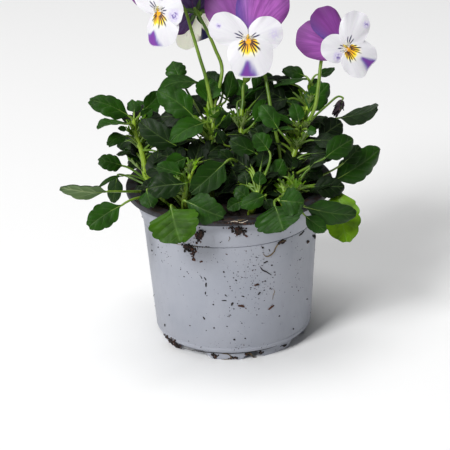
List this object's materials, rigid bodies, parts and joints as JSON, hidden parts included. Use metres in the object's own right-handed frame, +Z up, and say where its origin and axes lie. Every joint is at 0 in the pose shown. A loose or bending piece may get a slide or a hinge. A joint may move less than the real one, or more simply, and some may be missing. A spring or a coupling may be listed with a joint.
{
  "type": "potted horned violet",
  "caption": "Round plastic nursery pot of soil with a leafy horned violet whose violet and white flowers stand above its rim.",
  "frame": {"origin": "on the pot's axis, at the level that its feet stand on", "axes": "+Z up along the pot's axis, the flowers' front towards -Y, +X to the right as seen from the front"},
  "size_m": [0.1613, 0.1225, 0.196],
  "materials": {
    "pot": "satin, dusty, with specks of dried soil",
    "soil": "damp, crumbly",
    "leaf": "semi-matt, veined",
    "violet_petal": "velvety",
    "white_petal": "velvety",
    "eye": "matt",
    "withered": "dry, wrinkled"
  },
  "bodies": {
    "root": {"pot": "pot", "soil": "soil", "shoot_left": "leaf", "shoot_front_left": "leaf", "shoot_upper_left": "leaf", "shoot_centre": "leaf", "shoot_front": "leaf", "shoot_right": "leaf", "shoot_front_right": "leaf", "shoot_back_left": "leaf", "shoot_back": "leaf", "shoot_back_right": "leaf", "shoot_middle": "leaf", "bloom_1_upper_petals": "violet_petal", "bloom_1_lower_petals": "white_petal", "bloom_1_eye": "eye", "bloom_2_upper_petals": "violet_petal", "bloom_2_lower_petals": "white_petal", "bloom_2_eye": "eye", "bloom_3_upper_petals": "violet_petal", "bloom_3_lower_petals": "white_petal", "bloom_3_eye": "eye", "bloom_4_upper_petals": "violet_petal", "bloom_4_lower_petals": "white_petal", "bloom_4_eye": "eye", "withered_flower": "withered"}
  },
  "joints": []
}
